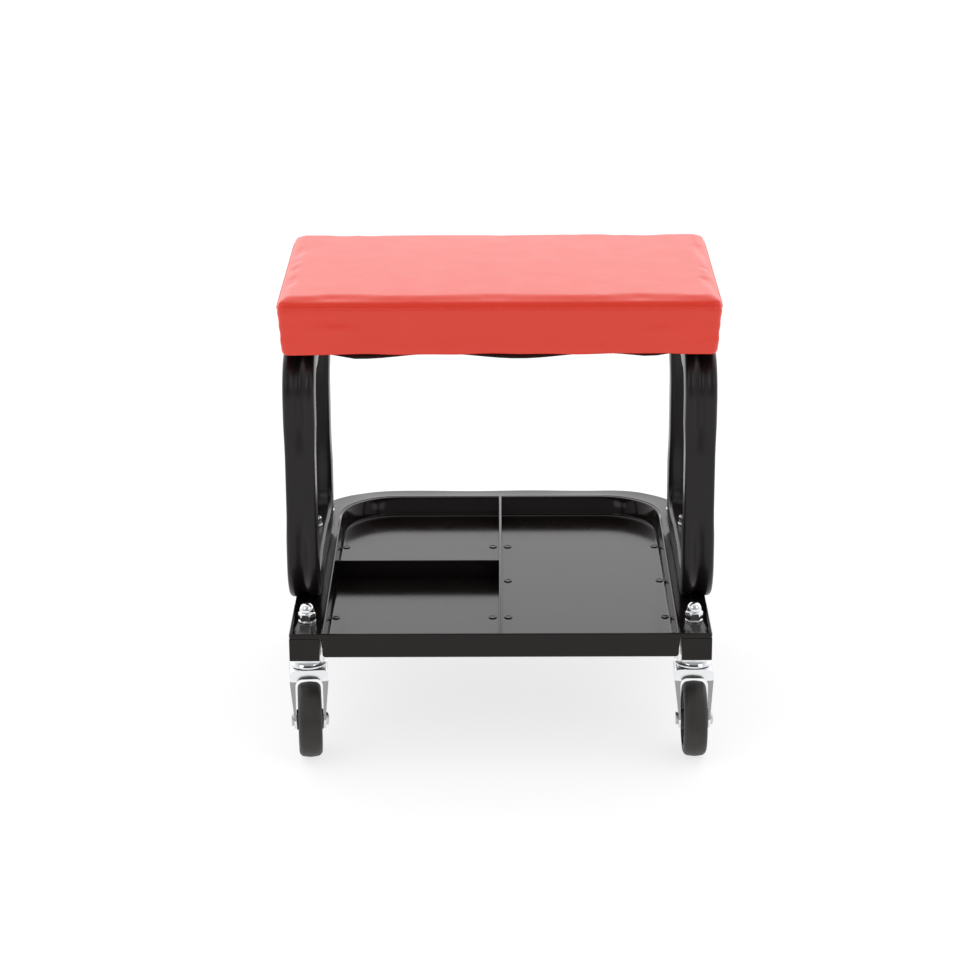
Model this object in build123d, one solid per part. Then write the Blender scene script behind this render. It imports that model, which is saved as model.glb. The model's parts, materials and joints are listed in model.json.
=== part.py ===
from build123d import *
import os
from math import acos, atan2, cos, radians, sin

# Rolling mechanic's seat: a padded bench on two square-tube hoops, which are bolted to
# two side rails with a divided tool tray between them, on four swivel stem casters.
# Millimetres. X to the right, Y to the back, Z up. The origin is on the floor, under
# the middle of the whole object.

# ---- casters -----------------------------------------------------------------------
WHEEL_DIAMETER = 63.5
TREAD_WIDTH = 19.5
TREAD_ROUND = 5.0
TYRE_THICKNESS = 9.0
HUB_DIAMETER = 17.0
HUB_WIDTH = 22.4
WEB_THICKNESS = 8.0
RIM_WIDTH = 17.0
RIM_THICKNESS = 4.0
CASTER_HEIGHT = WHEEL_DIAMETER + 25.5
CASTER_TRAIL = 22.5
FORK_SHEET = 1.8
FORK_GAP = 23.0
CROWN_WIDTH = 32.5
CROWN_DROP = 16.0
SHOULDER_DROP = 10.0
NECK_DROP = 36.0
AXLE_BOSS = 16.0
ARCH_OVER_WHEEL = 1.6
RACE_DIAMETER = 31.5
BALL_DIAMETER = 4.0
BALL_CIRCLE = 22.0
BALLS_PER_RACE = 14
RACE_TOP_DIAMETER = 21.0
RACE_WAIST_DIAMETER = 26.4
RACE_WAIST_DROP = 5.0
RACE_BRIM = 1.6
RACE_BRIM_ROUND = 1.1
STEM_DIAMETER = 8.0
STEM_INTO_NUT = 9.0
STEM_RIVET = 1.5
AXLE_DIAMETER = 6.0
AXLE_FLATS = 10.0
AXLE_HEAD = 2.2
AXLE_NUT = 2.2
AXLE_TIP = 0.4
SLEEVE_WALL = 1.2
RETAINER_DIAMETER = 20.0
RETAINER_THICKNESS = 2.0
TURNED = {"front_left": 5.0}

# ---- rails and tray ----------------------------------------------------------------
RAIL_SPAN = 350.0
RAIL_LENGTH = 350.0
RAIL_WIDTH = 25.0
RAIL_HEIGHT = 20.0
RAIL_WALL = 1.5
PLUG_FACE = 2.0
PLUG_DEPTH = 10.0
STEM_SPACING_Y = RAIL_LENGTH - 70.0
STEM_FROM_EDGE = 13.0
TRAY_BACK = RAIL_LENGTH / 2 + 20.75
TRAY_WALL = 2.0
TRAY_DEPTH = 17.5
TRAY_DRAFT = 1.0
TRAY_GAP = 1.4
TRAY_FOOT_ROUND = 2.0
RIM_BEAD = 2.0
LIP_WIDTH = 2.0
BACK_RIM = 18.0
BASIN_CORNER = 52.0
FLANGE_CORNER = 75.0
FRONT_CORNER = 3.0
DIVIDER = 2.4
CROSS_DIVIDER_Y = 8.0
CROSS_DIVIDER_LOW = 1.5
DISC_DIAMETER = 7.0
DISC_HEIGHT = 0.8
DISC_PITCH = 88.0
DISC_GAP = 1.0

# ---- hoops -------------------------------------------------------------------------
TUBE = 25.0
TUBE_WALL = 1.5
HOOP_CENTRES = RAIL_SPAN - RAIL_WIDTH + 8.0
HOOP_DEPTH = 232.0
HOOP_HEIGHT = 223.0
HOOP_BEND = 40.0

# ---- seat --------------------------------------------------------------------------
SEAT_TOP_WIDTH = RAIL_SPAN + 19.0
SEAT_FOOT_WIDTH = RAIL_SPAN + 10.0
SEAT_TOP_DEPTH = HOOP_DEPTH
SEAT_FOOT_DEPTH = HOOP_DEPTH - 6.0
SEAT_THICKNESS = 46.5
SEAT_CORNER = 12.0
SEAT_EDGE = 5.0
COVER_SKIN = 1.2
HEM_WIDTH = 42.0
BOARD_THICKNESS = 10.0
BOARD_MARGIN = 0.6
DUST_SHEET = 0.5
DUST_INSET = 7.0
STAPLE_CROWN = 10.0
STAPLE_WIRE = 0.8
STAPLE_LEG = 6.0
STAPLE_PITCH = 28.0
STAPLE_INSET = 17.0

# ---- fasteners ---------------------------------------------------------------------
SLIP = 0.05
HOLE_CLEARANCE = 0.25
CHAMFER = 0.08
FOOT_BOLT = 8.0
FOOT_BOLT_FLATS = 13.0
FOOT_BOLT_HEAD = 5.3
FOOT_NUT = 6.5
FOOT_WASHER = 16.0
FOOT_BOLT_Y = 30.0
SEAT_BOLT = 6.0
SEAT_BOLT_FLATS = 10.0
SEAT_BOLT_HEAD = 4.0
SEAT_WASHER = 12.5
SEAT_BOLT_Y = 60.0
THREAD_SHOWN = 3.0
STEM_WASHER = 15.0
CAP_NUT_FLATS = 13.0
CAP_NUT_HEX = 7.0
CAP_NUT_DOME = 12.0
CAP_NUT_HEIGHT = 15.0
WASHER_THICKNESS = 1.5
TEE_FLANGE = 16.0
TEE_THICKNESS = 1.2
TEE_BARREL = 8.0

# ---- places that follow from the sizes ----------------------------------------------
WHEEL_RADIUS = WHEEL_DIAMETER / 2
RAIL_TOP = CASTER_HEIGHT + RAIL_HEIGHT
FLANGE_TOP = RAIL_TOP + TRAY_WALL
RIM_TOP = FLANGE_TOP + RIM_BEAD
RAIL_X = (RAIL_SPAN - RAIL_WIDTH) / 2
RAIL_INNER = RAIL_SPAN / 2 - RAIL_WIDTH
STEM_X = RAIL_SPAN / 2 - STEM_FROM_EDGE
STEM_Y = STEM_SPACING_Y / 2
HOOP_X = HOOP_CENTRES / 2
HOOP_FOOT = FLANGE_TOP
HOOP_TOP = HOOP_FOOT + HOOP_HEIGHT
CROWN_TOP = CASTER_HEIGHT - CROWN_DROP
CROWN_UNDER = CROWN_TOP - FORK_SHEET
SEAT_FOOT = HOOP_TOP + DUST_SHEET
BOARD_FOOT = SEAT_FOOT + COVER_SKIN
BOARD_TOP = BOARD_FOOT + BOARD_THICKNESS
SEAT_TOP = HOOP_TOP + DUST_SHEET + SEAT_THICKNESS
FRONT_Y = -RAIL_LENGTH / 2
SIDES = {"left": -1, "right": 1}
ENDS = {"front": -1, "rear": 1}


def rounded_sheet(x0, x1, y0, y1, front_radius, back_radius):
    """Flat rectangle with one radius at its front corners and one at its back corners."""
    sheet = Pos((x0 + x1) / 2, (y0 + y1) / 2) * Rectangle(x1 - x0, y1 - y0)
    corners = sheet.vertices()
    sheet = fillet(corners.filter_by(lambda v: v.Y > (y0 + y1) / 2), back_radius)
    front = sheet.vertices().filter_by(lambda v: abs(v.Y - y0) < SLIP)
    return fillet(front, front_radius)


def drum(diameter, z0, z1, x=0.0, y=0.0):
    """Upright cylinder between two heights."""
    return Pos(x, y, (z0 + z1) / 2) * Cylinder(diameter / 2, z1 - z0)


def hexagon(across_flats, z0, z1):
    """Upright hexagonal bar with its corners chamfered at the top."""
    bar = Pos(0, 0, z0) * extrude(RegularPolygon(across_flats / 2, 6, major_radius=False), z1 - z0)
    dome = drum(across_flats * 1.12, z0, z1)
    dome = chamfer(dome.edges().group_by(Axis.Z)[-1], across_flats * CHAMFER)
    return bar & dome


def nut(thread, across_flats, z0, height):
    """Hexagon nut with a plain bore."""
    return hexagon(across_flats, z0, z0 + height) - drum(thread + 2 * SLIP, z0, z0 + height)


def washer(thread, diameter, z0, thickness):
    """Flat washer."""
    return drum(diameter, z0, z0 + thickness) - drum(thread + 2 * HOLE_CLEARANCE, z0, z0 + thickness)


def bolt(thread, across_flats, head_foot, head_height, tip):
    """Upright bolt with its hexagon head at the bottom."""
    head = hexagon(across_flats, head_foot, head_foot + head_height)
    shank = drum(thread, head_foot + head_height, tip)
    shank = chamfer(shank.edges().group_by(Axis.Z)[-1], thread * CHAMFER)
    return head + shank


def group(shape, places):
    """The same piece at several places, as separate solids."""
    return Compound([Pos(*place) * solid for place in places for solid in shape.solids()])


def stem_places():
    """Middle of each caster stem, by the caster's name."""
    return {
        end + "_" + side: (SIDES[side] * STEM_X, ENDS[end] * STEM_Y)
        for end in ENDS for side in SIDES
    }


def hoop_places(along):
    """The four points on the hoops' centre planes at one distance from the middle."""
    return [(s * HOOP_X, e * along) for s in SIDES.values() for e in ENDS.values()]


# ---- seat --------------------------------------------------------------------------
def seat_block(inset, z0, z1):
    """Tapered block of the padded seat, pulled in by one inset all round."""
    share = (z0 - SEAT_FOOT) / (SEAT_TOP - SEAT_FOOT)
    taper_x = SEAT_TOP_WIDTH - SEAT_FOOT_WIDTH
    taper_y = SEAT_TOP_DEPTH - SEAT_FOOT_DEPTH
    foot_x = SEAT_FOOT_WIDTH + taper_x * share
    foot_y = SEAT_FOOT_DEPTH + taper_y * share
    reach = (z1 - SEAT_FOOT) / (SEAT_TOP - SEAT_FOOT)
    top_x = SEAT_FOOT_WIDTH + taper_x * reach
    top_y = SEAT_FOOT_DEPTH + taper_y * reach
    corner = SEAT_CORNER - inset
    foot = Pos(0, 0, z0) * RectangleRounded(foot_x - 2 * inset, foot_y - 2 * inset, corner)
    top = Pos(0, 0, z1) * RectangleRounded(top_x - 2 * inset, top_y - 2 * inset, corner)
    block = loft([foot, top])
    return fillet(block.edges().group_by(Axis.Z)[-1], SEAT_EDGE - inset)


def seat_bolt_holes(shape, z0, z1):
    """Cut the seat bolts' clearance holes through a piece between two heights."""
    for x, y in hoop_places(SEAT_BOLT_Y):
        shape = shape - drum(SEAT_BOLT + 2 * HOLE_CLEARANCE, z0, z1, x, y)
    return shape


def seat_cover():
    """Vinyl skin over the foam, with its hem turned in under the board."""
    skin = seat_block(0, SEAT_FOOT, SEAT_TOP)
    skin = skin - seat_block(COVER_SKIN, BOARD_FOOT, SEAT_TOP - COVER_SKIN)
    mouth_x = SEAT_FOOT_WIDTH - 2 * HEM_WIDTH
    mouth_y = SEAT_FOOT_DEPTH - 2 * HEM_WIDTH
    mouth = Pos(0, 0, SEAT_FOOT) * extrude(RectangleRounded(mouth_x, mouth_y, SEAT_CORNER), COVER_SKIN)
    return seat_bolt_holes(skin - mouth, SEAT_FOOT, BOARD_FOOT)


def seat_foam():
    """Foam block between the board and the top of the cover."""
    return seat_block(COVER_SKIN, BOARD_TOP, SEAT_TOP - COVER_SKIN)


def seat_board():
    """Plywood board, drilled and counterbored for the tee nuts."""
    inset = COVER_SKIN + BOARD_MARGIN
    outline = RectangleRounded(
        SEAT_FOOT_WIDTH - 2 * inset, SEAT_FOOT_DEPTH - 2 * inset, SEAT_CORNER - inset)
    board = Pos(0, 0, BOARD_FOOT) * extrude(outline, BOARD_THICKNESS)
    for x, y in hoop_places(SEAT_BOLT_Y):
        board = board - drum(TEE_BARREL + 2 * SLIP, BOARD_FOOT, BOARD_TOP, x, y)
        flange = drum(TEE_FLANGE + 2 * SLIP, BOARD_TOP - TEE_THICKNESS - SLIP, BOARD_TOP, x, y)
        board = board - flange
    return board


def dust_cover():
    """Thin black sheet stapled under the seat."""
    outline = RectangleRounded(
        SEAT_FOOT_WIDTH - 2 * DUST_INSET, SEAT_FOOT_DEPTH - 2 * DUST_INSET, SEAT_CORNER)
    sheet = Pos(0, 0, HOOP_TOP) * extrude(outline, DUST_SHEET)
    return seat_bolt_holes(sheet, HOOP_TOP, SEAT_FOOT)


def staples():
    """Wire staples through the dust sheet and the hem into the board."""
    wire = STAPLE_WIRE
    crown = Pos(0, 0, HOOP_TOP - wire / 2) * Box(STAPLE_CROWN, wire, wire)
    leg = Pos((STAPLE_CROWN - wire) / 2, 0, HOOP_TOP + STAPLE_LEG / 2) * Box(wire, wire, STAPLE_LEG)
    staple = crown + leg + mirror(leg, Plane.YZ)
    row_y = SEAT_FOOT_DEPTH / 2 - STAPLE_INSET
    row_x = HOOP_X - TUBE / 2 - STAPLE_INSET / 2
    along_x = int((2 * row_x) // STAPLE_PITCH)
    along_y = int((2 * row_y) // STAPLE_PITCH)
    made = []
    for i in range(along_x + 1):
        x = (i - along_x / 2) * STAPLE_PITCH
        made += [Pos(x, e * row_y) * staple for e in ENDS.values()]
    for j in range(1, along_y):
        y = (j - along_y / 2) * STAPLE_PITCH
        made += [Pos(s * row_x, y) * Rot(0, 0, 90) * staple for s in SIDES.values()]
    return Compound([solid for piece in made for solid in piece.solids()])


def tee_nuts():
    """Tee nuts pressed into the board from above."""
    body = drum(TEE_BARREL, BOARD_FOOT + SLIP, BOARD_TOP - SLIP)
    body = body + drum(TEE_FLANGE, BOARD_TOP - TEE_THICKNESS, BOARD_TOP)
    body = body - drum(SEAT_BOLT + 2 * SLIP, BOARD_FOOT, BOARD_TOP)
    return group(body, [(x, y, 0) for x, y in hoop_places(SEAT_BOLT_Y)])


# ---- hoops -------------------------------------------------------------------------
def hoop_ring(inset, width):
    """Ring of the hoop's outline in the YZ plane, with its tube pulled in by an inset."""
    middle = HOOP_FOOT + HOOP_HEIGHT / 2
    inner_radius = HOOP_BEND - TUBE + inset
    outer = RectangleRounded(HOOP_DEPTH - 2 * inset, HOOP_HEIGHT - 2 * inset, HOOP_BEND - inset)
    inner = RectangleRounded(
        HOOP_DEPTH - 2 * TUBE + 2 * inset, HOOP_HEIGHT - 2 * TUBE + 2 * inset, inner_radius)
    ring = extrude(Plane.YZ * (outer - inner), width / 2, both=True)
    return Pos(0, 0, middle) * ring


def hoop(side):
    """Closed hoop of square tube, with clearance holes for its bolts."""
    ring = Pos(SIDES[side] * HOOP_X) * (hoop_ring(0, TUBE) - hoop_ring(TUBE_WALL, TUBE - 2 * TUBE_WALL))
    ring = seat_bolt_holes(ring, HOOP_TOP - TUBE, HOOP_TOP)
    for x, y in hoop_places(FOOT_BOLT_Y):
        ring = ring - drum(FOOT_BOLT + 2 * HOLE_CLEARANCE, HOOP_FOOT, HOOP_FOOT + TUBE, x, y)
    return ring


def seat_bolts():
    """Bolts up through the hoops' top runs into the tee nuts."""
    foot = HOOP_TOP - TUBE - WASHER_THICKNESS - SEAT_BOLT_HEAD
    piece = bolt(SEAT_BOLT, SEAT_BOLT_FLATS, foot, SEAT_BOLT_HEAD, BOARD_TOP - TEE_THICKNESS)
    return group(piece, [(x, y, 0) for x, y in hoop_places(SEAT_BOLT_Y)])


def seat_washers():
    """Washers under the seat bolts' heads."""
    piece = washer(SEAT_BOLT, SEAT_WASHER, HOOP_TOP - TUBE - WASHER_THICKNESS, WASHER_THICKNESS)
    return group(piece, [(x, y, 0) for x, y in hoop_places(SEAT_BOLT_Y)])


def foot_bolts():
    """Bolts up through each rail, the tray's flange and the hoop's bottom run."""
    foot = CASTER_HEIGHT - FOOT_BOLT_HEAD
    nut_top = HOOP_FOOT + TUBE + WASHER_THICKNESS + FOOT_NUT
    piece = bolt(FOOT_BOLT, FOOT_BOLT_FLATS, foot, FOOT_BOLT_HEAD, nut_top + THREAD_SHOWN)
    return group(piece, [(x, y, 0) for x, y in hoop_places(FOOT_BOLT_Y)])


def foot_nuts():
    """Nuts on top of the hoops' bottom runs."""
    piece = nut(FOOT_BOLT, FOOT_BOLT_FLATS, HOOP_FOOT + TUBE + WASHER_THICKNESS, FOOT_NUT)
    return group(piece, [(x, y, 0) for x, y in hoop_places(FOOT_BOLT_Y)])


def foot_washers():
    """Washers under the foot nuts."""
    piece = washer(FOOT_BOLT, FOOT_WASHER, HOOP_FOOT + TUBE, WASHER_THICKNESS)
    return group(piece, [(x, y, 0) for x, y in hoop_places(FOOT_BOLT_Y)])


# ---- rails and tray ----------------------------------------------------------------
def mounting_holes(shape, z0, z1):
    """Cut the caster stems' and the foot bolts' holes through a piece."""
    for x, y in stem_places().values():
        shape = shape - drum(STEM_DIAMETER + 2 * HOLE_CLEARANCE, z0, z1, x, y)
    for x, y in hoop_places(FOOT_BOLT_Y):
        shape = shape - drum(FOOT_BOLT + 2 * HOLE_CLEARANCE, z0, z1, x, y)
    return shape


def rail(side):
    """Rectangular steel tube along one side, open at its ends for the plugs."""
    length = RAIL_LENGTH - 2 * PLUG_FACE
    middle = CASTER_HEIGHT + RAIL_HEIGHT / 2
    tube = Box(RAIL_WIDTH, length, RAIL_HEIGHT)
    tube = tube - Box(RAIL_WIDTH - 2 * RAIL_WALL, length, RAIL_HEIGHT - 2 * RAIL_WALL)
    return mounting_holes(Pos(SIDES[side] * RAIL_X, 0, middle) * tube, CASTER_HEIGHT, RAIL_TOP)


def rail_plugs():
    """Plastic plugs that close the rails' ends."""
    plugs = []
    for s in SIDES.values():
        for e in ENDS.values():
            face_y = e * (RAIL_LENGTH - PLUG_FACE) / 2
            body_y = e * (RAIL_LENGTH / 2 - PLUG_FACE - PLUG_DEPTH / 2)
            face = Pos(0, face_y) * Box(RAIL_WIDTH, PLUG_FACE, RAIL_HEIGHT)
            gap = 2 * RAIL_WALL + 2 * SLIP
            body = Pos(0, body_y) * Box(RAIL_WIDTH - gap, PLUG_DEPTH, RAIL_HEIGHT - gap)
            plugs.append(Pos(s * RAIL_X, 0, CASTER_HEIGHT + RAIL_HEIGHT / 2) * (face + body))
    return Compound([solid for plug in plugs for solid in plug.solids()])


def basin(inset, z0, z1):
    """Drafted tub of the tray: inset 0 is its outer face."""
    half = RAIL_INNER - TRAY_GAP - inset
    back = TRAY_BACK - BACK_RIM + TRAY_WALL - inset
    front = FRONT_Y + inset
    height = RIM_TOP - (FLANGE_TOP - TRAY_DEPTH - TRAY_WALL)
    sections = []
    for z in (z0, z1):
        draft = TRAY_DRAFT * (RIM_TOP - z) / height
        corner = BASIN_CORNER + TRAY_WALL - inset
        outline = rounded_sheet(
            -half + draft, half - draft, front + draft, back - 2 * draft,
            FRONT_CORNER - inset / 2, corner)
        sections.append(Pos(0, 0, z) * outline)
    block = loft(sections)
    return fillet(block.edges().group_by(Axis.Z)[0], TRAY_FOOT_ROUND)


def tray_lips():
    """Raised lips on the outer edges of the tray's side flanges, clear of the hoops."""
    height = RIM_TOP - RAIL_TOP
    middle = (RIM_TOP + RAIL_TOP) / 2
    clear = HOOP_DEPTH / 2 - HOOP_BEND / 2
    edge_x = RAIL_SPAN / 2 - LIP_WIDTH / 2
    side_length = -FRONT_Y - clear
    side = Box(LIP_WIDTH, side_length, height)
    front = Box(RAIL_WIDTH, LIP_WIDTH, height)
    lips = []
    for s in SIDES.values():
        lips.append(Pos(s * edge_x, FRONT_Y + side_length / 2, middle) * side)
        lips.append(Pos(s * RAIL_X, FRONT_Y + LIP_WIDTH / 2, middle) * front)
    return lips


def tray():
    """Moulded tool tray: tub, flanges over the rails, lips, dividers and floor discs."""
    floor_under = FLANGE_TOP - TRAY_DEPTH - TRAY_WALL
    floor_top = FLANGE_TOP - TRAY_DEPTH
    flange = rounded_sheet(
        -RAIL_SPAN / 2, RAIL_SPAN / 2, FRONT_Y, TRAY_BACK, FRONT_CORNER / 2, FLANGE_CORNER)
    body = Pos(0, 0, RAIL_TOP) * extrude(flange, TRAY_WALL)
    tub = basin(0, floor_under, RIM_TOP)
    bead_end = TRAY_BACK - BACK_RIM - BASIN_CORNER
    above = Pos(0, bead_end + RAIL_LENGTH / 2, FLANGE_TOP + RIM_BEAD / 2)
    tub = tub - above * Box(RAIL_SPAN, RAIL_LENGTH, RIM_BEAD)
    body = body + tub
    for lip in tray_lips():
        body = body + lip
    hollow = basin(TRAY_WALL, floor_top, RIM_TOP)
    body = body - hollow
    length = TRAY_BACK - FRONT_Y
    wall_height = RIM_TOP - RIM_BEAD / 2 - floor_under
    spine = Pos(0, FRONT_Y + length / 2, floor_under + wall_height / 2)
    spine = spine * Box(DIVIDER, length, wall_height)
    cross_height = wall_height - CROSS_DIVIDER_LOW
    cross = Pos(-RAIL_SPAN / 4, CROSS_DIVIDER_Y, floor_under + cross_height / 2)
    walls = spine + cross * Box(RAIL_SPAN / 2, DIVIDER, cross_height)
    body = body + (walls & basin(TRAY_WALL / 2, floor_under, RIM_TOP))
    wall_x = RAIL_INNER - TRAY_WALL - TRAY_DRAFT - TRAY_GAP
    outer_x = wall_x - DISC_GAP - DISC_DIAMETER / 2
    inner_x = DIVIDER / 2 + 2 * DISC_GAP + DISC_DIAMETER / 2
    for row in (-1, 0, 1):
        for x in (-outer_x, -inner_x, inner_x, outer_x):
            if row or x > 0:
                body = body + drum(DISC_DIAMETER, floor_top - DISC_HEIGHT, floor_top + DISC_HEIGHT,
                                   x, row * DISC_PITCH)
    return mounting_holes(body, RAIL_TOP, FLANGE_TOP)


def stem_washers():
    """Washers on the tray's flange under the cap nuts."""
    piece = washer(STEM_DIAMETER, STEM_WASHER, FLANGE_TOP, WASHER_THICKNESS)
    return group(piece, [(x, y, 0) for x, y in stem_places().values()])


def cap_nuts():
    """Domed nuts that hold the caster stems."""
    foot = FLANGE_TOP + WASHER_THICKNESS
    spring = foot + CAP_NUT_HEIGHT - CAP_NUT_DOME / 2
    piece = hexagon(CAP_NUT_FLATS, foot, foot + CAP_NUT_HEX)
    piece = piece + drum(CAP_NUT_DOME, foot, spring) + Pos(0, 0, spring) * Sphere(CAP_NUT_DOME / 2)
    piece = piece - drum(STEM_DIAMETER + 2 * SLIP, foot, foot + STEM_INTO_NUT + THREAD_SHOWN / 2)
    return group(piece, [(x, y, 0) for x, y in stem_places().values()])


# ---- casters -----------------------------------------------------------------------
def caster_stems():
    """Threaded stems with the shoulder that the swivel race is riveted to."""
    tip = FLANGE_TOP + WASHER_THICKNESS + STEM_INTO_NUT
    foot = CROWN_UNDER - 2 * SLIP - RETAINER_THICKNESS - STEM_RIVET
    piece = drum(STEM_DIAMETER, foot, tip)
    piece = chamfer(piece.edges().group_by(Axis.Z)[-1], STEM_DIAMETER * CHAMFER)
    return group(piece, [(x, y, 0) for x, y in stem_places().values()])


def bearing_caps():
    """Pressed upper races under the rails, hollow below for the balls."""
    rim = RACE_DIAMETER / 2
    foot = CROWN_TOP + 10 * SLIP
    brim = foot + RACE_BRIM
    top = CASTER_HEIGHT
    profile = make_face(
        Polyline(
            (STEM_DIAMETER / 2 + SLIP, foot),
            (STEM_DIAMETER / 2 + SLIP, top),
            (RACE_TOP_DIAMETER / 2, top),
            (RACE_WAIST_DIAMETER / 2, top - RACE_WAIST_DROP),
            (rim - RACE_BRIM_ROUND, brim + RACE_BRIM_ROUND),
            (rim, brim),
            (rim, foot),
            close=True,
        )
    )
    groove_half = BALL_DIAMETER / 2 + SLIP
    groove_top = CROWN_TOP + BALL_DIAMETER + 2 * SLIP
    groove = Pos(BALL_CIRCLE / 2, (foot + groove_top) / 2)
    profile = profile - groove * Rectangle(2 * groove_half, groove_top - foot)
    piece = revolve(Plane.XZ * profile, Axis.Z)
    return group(piece, [(x, y, 0) for x, y in stem_places().values()])


def swivel_balls():
    """Bearing balls between the races."""
    places = []
    for x, y in stem_places().values():
        for i in range(BALLS_PER_RACE):
            turn = radians(360.0 * i / BALLS_PER_RACE)
            ball_x = x + BALL_CIRCLE / 2 * cos(turn)
            ball_y = y + BALL_CIRCLE / 2 * sin(turn)
            places.append((ball_x, ball_y, CROWN_TOP + BALL_DIAMETER / 2 + SLIP))
    return group(Sphere(BALL_DIAMETER / 2), places)


def stem_retainers():
    """Collars under the forks that keep them on their stems."""
    top = CROWN_UNDER - 2 * SLIP
    piece = drum(RETAINER_DIAMETER, top - RETAINER_THICKNESS, top)
    piece = piece - drum(STEM_DIAMETER, top - RETAINER_THICKNESS, top)
    return group(piece, [(x, y, 0) for x, y in stem_places().values()])


def tangent_point(point, centre, radius, turn):
    """Where a line from a point touches a circle, on one of its two sides."""
    offset = Vector(*point) - Vector(*centre)
    swing = atan2(offset.Y, offset.X) + turn * acos(radius / offset.length)
    return centre[0] + radius * cos(swing), centre[1] + radius * sin(swing)


def fork_front(half_top, half_foot, top, corner):
    """Fork outline seen from the front: wide at the crown, narrow at the axle."""
    outline = make_face(
        Polyline(
            (-half_top, top),
            (half_top, top),
            (half_top, top - SHOULDER_DROP),
            (half_foot, top - NECK_DROP),
            (half_foot, 0),
            (-half_foot, 0),
            (-half_foot, top - NECK_DROP),
            (-half_top, top - SHOULDER_DROP),
            close=True,
        )
    )
    top_corners = outline.vertices().group_by(Axis.Y)[-1]
    return fillet(top_corners, corner)


def fork():
    """Pressed fork, about the stem's axis: crown, skirts and two legs to the axle."""
    half = CROWN_WIDTH / 2
    leg = FORK_GAP / 2
    axle = (-CASTER_TRAIL, WHEEL_RADIUS)
    boss = AXLE_BOSS / 2
    skirt = CROWN_TOP - SHOULDER_DROP
    front = tangent_point((-half, skirt), axle, boss, 1)
    rear = tangent_point((half, skirt), axle, boss, -1)
    plate = make_face(
        Polyline((-half, CROWN_TOP), (-half, skirt), front, axle, rear, (half, skirt), (half, CROWN_TOP),
                 close=True))
    plate = plate + Pos(*axle) * Circle(boss)
    body = extrude(Plane.YZ * plate, half, both=True)
    body = body & extrude(
        Plane.XZ * fork_front(half, leg + FORK_SHEET, CROWN_TOP, 2.5 * FORK_SHEET),
        WHEEL_DIAMETER + CROWN_WIDTH, both=True)
    inner = extrude(
        Plane.XZ * fork_front(half - FORK_SHEET, leg, CROWN_UNDER, 1.5 * FORK_SHEET),
        half - FORK_SHEET, both=True)
    arch_top = WHEEL_DIAMETER + ARCH_OVER_WHEEL
    arch = Pos(0, arch_top / 2) * RectangleRounded(FORK_GAP, arch_top, leg / 2)
    arch = arch + Rectangle(FORK_GAP, arch_top)
    body = body - inner - extrude(Plane.XZ * arch, WHEEL_DIAMETER + CROWN_WIDTH, both=True)
    plan = Pos(0, -WHEEL_RADIUS) * RectangleRounded(
        CROWN_WIDTH, CROWN_WIDTH + 2 * WHEEL_RADIUS, half / 2)
    body = body & extrude(plan, CASTER_HEIGHT)
    body = body - drum(STEM_DIAMETER + 2 * SLIP, CROWN_UNDER, CROWN_TOP)
    hole = Pos(0, -CASTER_TRAIL, WHEEL_RADIUS) * Rot(0, 90, 0)
    return body - hole * Cylinder(AXLE_DIAMETER / 2 + SLIP, 2 * CROWN_WIDTH)


def across(shape):
    """Lay a piece that was made along Z along the axle, with its top to the right."""
    return Pos(0, -CASTER_TRAIL, WHEEL_RADIUS) * Rot(0, 90, 0) * shape


def axle_bolt():
    """Axle bolt with its head on the left."""
    leg = FORK_GAP / 2 + FORK_SHEET
    tip = leg + AXLE_NUT + AXLE_TIP
    return across(bolt(AXLE_DIAMETER, AXLE_FLATS, -leg - AXLE_HEAD, AXLE_HEAD, tip))


def axle_nut():
    """Thin nut on the axle bolt's right end."""
    return across(nut(AXLE_DIAMETER, AXLE_FLATS, FORK_GAP / 2 + FORK_SHEET, AXLE_NUT))


def axle_sleeve():
    """Sleeve between the fork's legs that the hub turns on."""
    half = FORK_GAP / 2
    sleeve = drum(AXLE_DIAMETER + 2 * SLEEVE_WALL, -half, half)
    return across(sleeve - drum(AXLE_DIAMETER + 2 * SLIP, -half, half))


def wheel_core():
    """Moulded wheel centre: hub, web and rim in one."""
    bore = AXLE_DIAMETER / 2 + SLEEVE_WALL + SLIP
    rim = WHEEL_RADIUS - TYRE_THICKNESS
    profile = make_face(
        Polyline(
            (bore, -HUB_WIDTH / 2),
            (HUB_DIAMETER / 2, -HUB_WIDTH / 2),
            (HUB_DIAMETER / 2 + 1.0, -WEB_THICKNESS / 2),
            (rim - RIM_THICKNESS, -WEB_THICKNESS / 2),
            (rim - RIM_THICKNESS + 1.0, -RIM_WIDTH / 2),
            (rim, -RIM_WIDTH / 2),
            (rim, RIM_WIDTH / 2),
            (rim - RIM_THICKNESS + 1.0, RIM_WIDTH / 2),
            (rim - RIM_THICKNESS, WEB_THICKNESS / 2),
            (HUB_DIAMETER / 2 + 1.0, WEB_THICKNESS / 2),
            (HUB_DIAMETER / 2, HUB_WIDTH / 2),
            (bore, HUB_WIDTH / 2),
            close=True,
        )
    )
    return across(revolve(Plane.XZ * profile, Axis.Z))


def tyre():
    """Solid rubber tyre with rounded shoulders."""
    inner = WHEEL_RADIUS - TYRE_THICKNESS
    middle = (WHEEL_RADIUS + inner) / 2
    section = Pos(middle, 0) * Rectangle(TYRE_THICKNESS, TREAD_WIDTH)
    section = fillet(section.vertices().group_by(Axis.X)[-1], TREAD_ROUND)
    return across(revolve(Plane.XZ * section, Axis.Z))


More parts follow.
